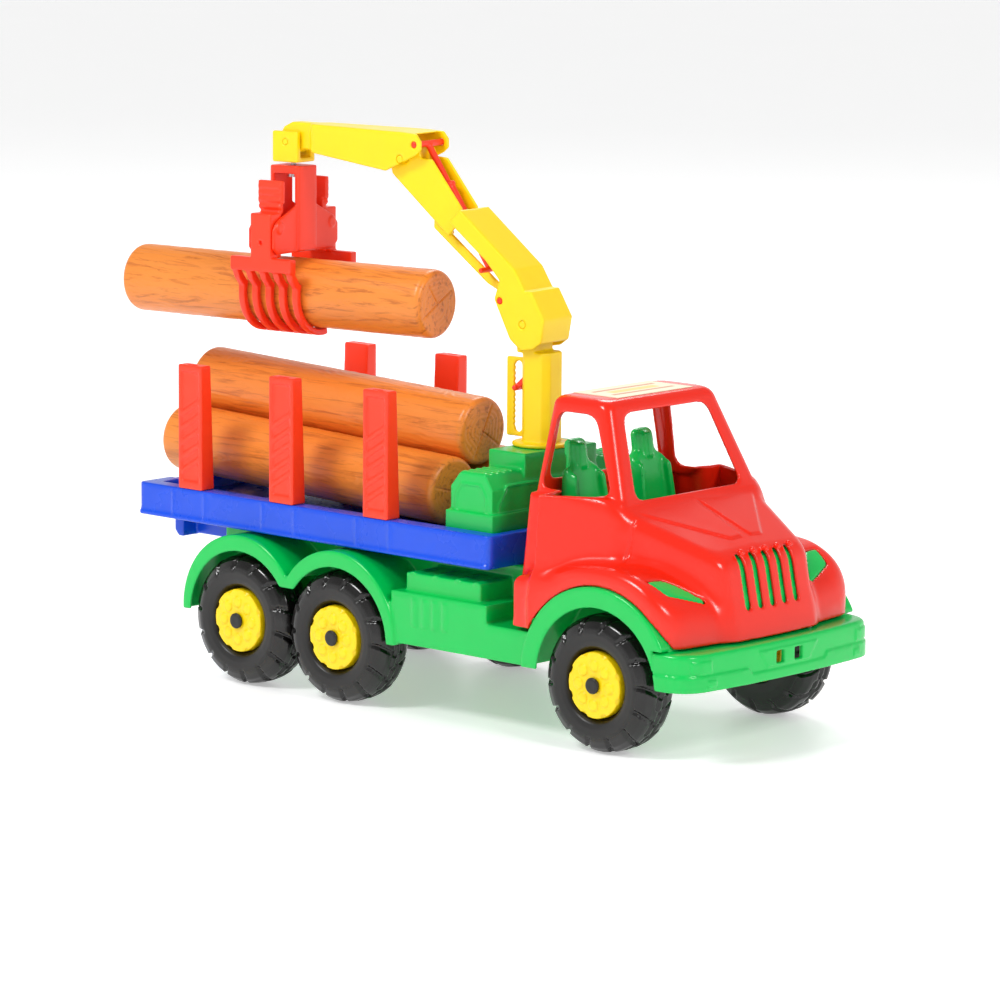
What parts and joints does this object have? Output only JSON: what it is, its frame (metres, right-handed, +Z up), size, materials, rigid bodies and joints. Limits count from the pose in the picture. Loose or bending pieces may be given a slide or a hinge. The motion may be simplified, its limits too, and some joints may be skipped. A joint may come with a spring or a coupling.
{
  "type": "toy timber lorry",
  "caption": "Toy timber lorry with a bonneted cab, stake bed, slewing loading crane with a hinged boom and jib, a log grapple and hollow moulded logs.",
  "frame": {"origin": "on the ground, under the middle of the whole toy's box", "axes": "+X forwards to the bumper, +Y to the lorry's left, +Z up"},
  "size_m": [0.6165, 0.2236, 0.419],
  "materials": {
    "red_plastic": "gloss moulded polypropylene",
    "orange_plastic": "satin moulded polypropylene",
    "green_plastic": "gloss moulded polypropylene",
    "blue_plastic": "gloss moulded polypropylene",
    "yellow_plastic": "satin moulded polypropylene",
    "black_plastic": "gloss blow-moulded polyethylene",
    "timber_plastic": "satin blow-moulded polyethylene with a wood-grain relief",
    "label_film": "satin printed film",
    "steel": "bright drawn steel"
  },
  "bodies": {
    "lorry": {"chassis": "green_plastic", "cab_shell": "red_plastic", "seat_insert": "green_plastic", "front_insert": "green_plastic", "roof_label": "label_film", "load_bed": "blue_plastic", "rear_bracket": "blue_plastic", "stake_left_rear": "orange_plastic", "stake_left_middle": "orange_plastic", "stake_left_front": "orange_plastic", "stake_right_rear": "orange_plastic", "stake_right_middle": "orange_plastic", "stake_right_front": "orange_plastic", "crane_base": "green_plastic", "front_axle": "steel", "middle_axle": "steel", "rear_axle": "steel", "axle_caps": "black_plastic", "cab_screws": "steel", "bed_screws": "steel", "base_screws": "steel", "lower_log_left": "timber_plastic", "lower_log_right": "timber_plastic"},
    "wheel_front_left": {"tyre_front_left": "black_plastic", "hub_front_left": "yellow_plastic"},
    "wheel_front_right": {"tyre_front_right": "black_plastic", "hub_front_right": "yellow_plastic"},
    "wheel_middle_left": {"tyre_middle_left": "black_plastic", "hub_middle_left": "yellow_plastic"},
    "wheel_middle_right": {"tyre_middle_right": "black_plastic", "hub_middle_right": "yellow_plastic"},
    "wheel_rear_left": {"tyre_rear_left": "black_plastic", "hub_rear_left": "yellow_plastic"},
    "wheel_rear_right": {"tyre_rear_right": "black_plastic", "hub_rear_right": "yellow_plastic"},
    "column": {"crane_column": "yellow_plastic", "column_ring": "steel"},
    "boom": {"boom": "yellow_plastic", "boom_pin": "yellow_plastic", "jib_pin": "yellow_plastic"},
    "boom_strut": {"boom_strut": "orange_plastic"},
    "jib": {"jib": "yellow_plastic"},
    "jib_strut": {"jib_strut": "orange_plastic"},
    "knuckle": {"knuckle": "yellow_plastic", "knuckle_pin": "yellow_plastic"},
    "grapple": {"grapple_housing": "orange_plastic", "rotator_screw": "steel", "jaw_pins": "steel", "jaw_springs": "steel"},
    "jaw_right": {"jaw_right": "orange_plastic"},
    "jaw_left": {"jaw_left": "orange_plastic"},
    "gripped_log": {"gripped_log": "timber_plastic"},
    "top_log": {"top_log": "timber_plastic"}
  },
  "joints": [
    {"name": "wheel_front_left_spin", "type": "hinge", "parent": "lorry", "child": "wheel_front_left", "pos_m": [0.21825, 0, 0.0493], "axis": [0, 1, 0], "continuous": true},
    {"name": "wheel_front_right_spin", "type": "hinge", "parent": "lorry", "child": "wheel_front_right", "pos_m": [0.21825, 0, 0.0493], "axis": [0, 1, 0], "continuous": true},
    {"name": "wheel_middle_left_spin", "type": "hinge", "parent": "lorry", "child": "wheel_middle_left", "pos_m": [-0.03625, 0, 0.0493], "axis": [0, 1, 0], "continuous": true},
    {"name": "wheel_middle_right_spin", "type": "hinge", "parent": "lorry", "child": "wheel_middle_right", "pos_m": [-0.03625, 0, 0.0493], "axis": [0, 1, 0], "continuous": true},
    {"name": "wheel_rear_left_spin", "type": "hinge", "parent": "lorry", "child": "wheel_rear_left", "pos_m": [-0.13525, 0, 0.0493], "axis": [0, 1, 0], "continuous": true},
    {"name": "wheel_rear_right_spin", "type": "hinge", "parent": "lorry", "child": "wheel_rear_right", "pos_m": [-0.13525, 0, 0.0493], "axis": [0, 1, 0], "continuous": true},
    {"name": "crane_slew", "type": "hinge", "parent": "lorry", "child": "column", "pos_m": [0.07175, 0, 0.195], "axis": [0, 0, 1], "continuous": true},
    {"name": "boom_luff", "type": "hinge", "parent": "column", "child": "boom", "pos_m": [0.06609, -0.00064, 0.2835], "axis": [-0.1115, 0.9938, 0], "range_deg": [-5, 17]},
    {"name": "boom_strut_swing", "type": "hinge", "parent": "boom", "child": "boom_strut", "pos_m": [0.04571, -0.00292, 0.2995], "axis": [-0.1115, 0.9938, 0], "range_deg": [-20, 8]},
    {"name": "jib_fold", "type": "hinge", "parent": "boom", "child": "jib", "pos_m": [-0.04551, -0.01315, 0.398], "axis": [-0.1115, 0.9938, 0], "range_deg": [-8, 25]},
    {"name": "jib_strut_swing", "type": "hinge", "parent": "jib", "child": "jib_strut", "pos_m": [-0.03259, -0.0117, 0.4093], "axis": [-0.1115, 0.9938, 0], "range_deg": [-30, 12]},
    {"name": "knuckle_swing", "type": "hinge", "parent": "jib", "child": "knuckle", "pos_m": [-0.15781, -0.02575, 0.404], "axis": [-0.1115, 0.9938, 0], "range_deg": [-5, 14]},
    {"name": "grapple_turn", "type": "hinge", "parent": "knuckle", "child": "grapple", "pos_m": [-0.15781, -0.02575, 0.384], "axis": [0, 0, 1], "continuous": true},
    {"name": "jaws_open", "type": "hinge", "parent": "grapple", "child": "jaw_right", "pos_m": [-0.15424, -0.05755, 0.341], "axis": [-0.9938, -0.1115, 0], "range_deg": [0, 16], "stiffness_Nm_per_rad": 0.05, "springref_deg": -17.19},
    {"name": "jaw_left_open", "type": "hinge", "parent": "grapple", "child": "jaw_left", "pos_m": [-0.16137, 0.00605, 0.341], "axis": [0.9938, 0.1115, 0], "range_deg": [0, 16], "stiffness_Nm_per_rad": 0.05, "springref_deg": -17.19},
    {"name": "gripped_log_slide", "type": "slide", "parent": "grapple", "child": "gripped_log", "axis": [-0.9938, -0.1115, 0], "range_m": [-0.02, 0.05]},
    {"name": "top_log_slide", "type": "slide", "parent": "lorry", "child": "top_log", "axis": [-0.9991, 0, 0.0419], "range_m": [0, 0.12]}
  ],
  "couplings": [
    {"joint": "boom_strut_swing", "follows": "boom_luff", "ratio": -0.7},
    {"joint": "jib_strut_swing", "follows": "jib_fold", "ratio": -1.06},
    {"joint": "jaw_left_open", "follows": "jaws_open", "ratio": 1}
  ]
}
